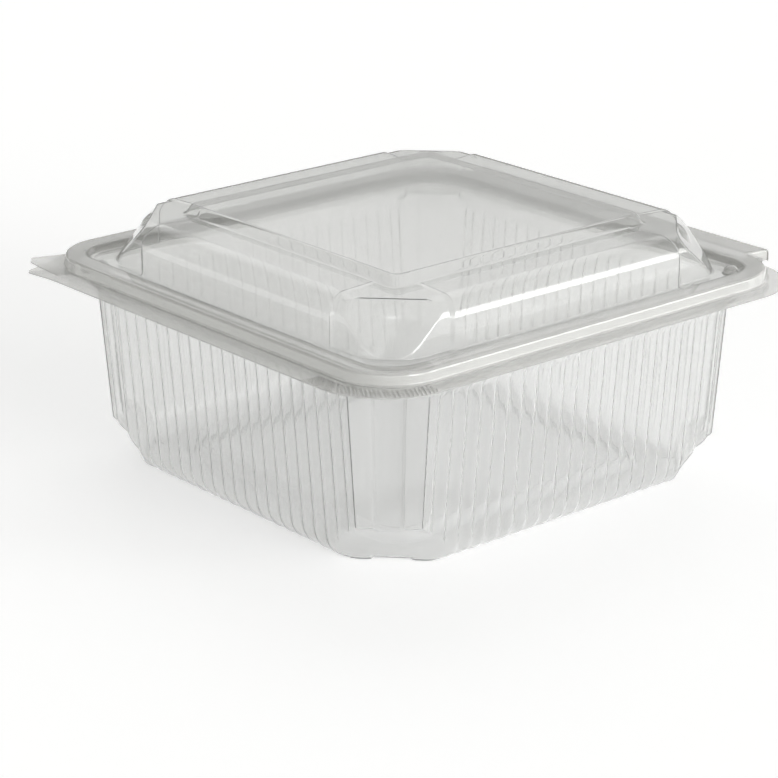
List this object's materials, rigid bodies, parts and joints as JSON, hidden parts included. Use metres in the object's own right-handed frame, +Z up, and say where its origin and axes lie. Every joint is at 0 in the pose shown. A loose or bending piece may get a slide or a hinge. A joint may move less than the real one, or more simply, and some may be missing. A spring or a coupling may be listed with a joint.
{
  "type": "hinged takeaway meal container",
  "caption": "Clear formed plastic food box with ribbed walls and a domed lid hinged along its back edge, shut and empty.",
  "frame": {"origin": "on the surface it stands on, below the middle of the whole outline", "axes": "+Z up, hinge along +Y, opening side at -Y, pull tabs at the corner between -X and -Y"},
  "size_m": [0.1584, 0.1633, 0.0748],
  "materials": {
    "clear_sheet": "clear glossy formed PET sheet"
  },
  "bodies": {
    "box": {"box": "clear_sheet"},
    "lid": {"lid": "clear_sheet"}
  },
  "joints": [
    {"name": "lid_hinge", "type": "hinge", "parent": "box", "child": "lid", "pos_m": [0, 0.081, 0.0562], "axis": [-1, 0, 0], "range_deg": [0, 180]}
  ]
}
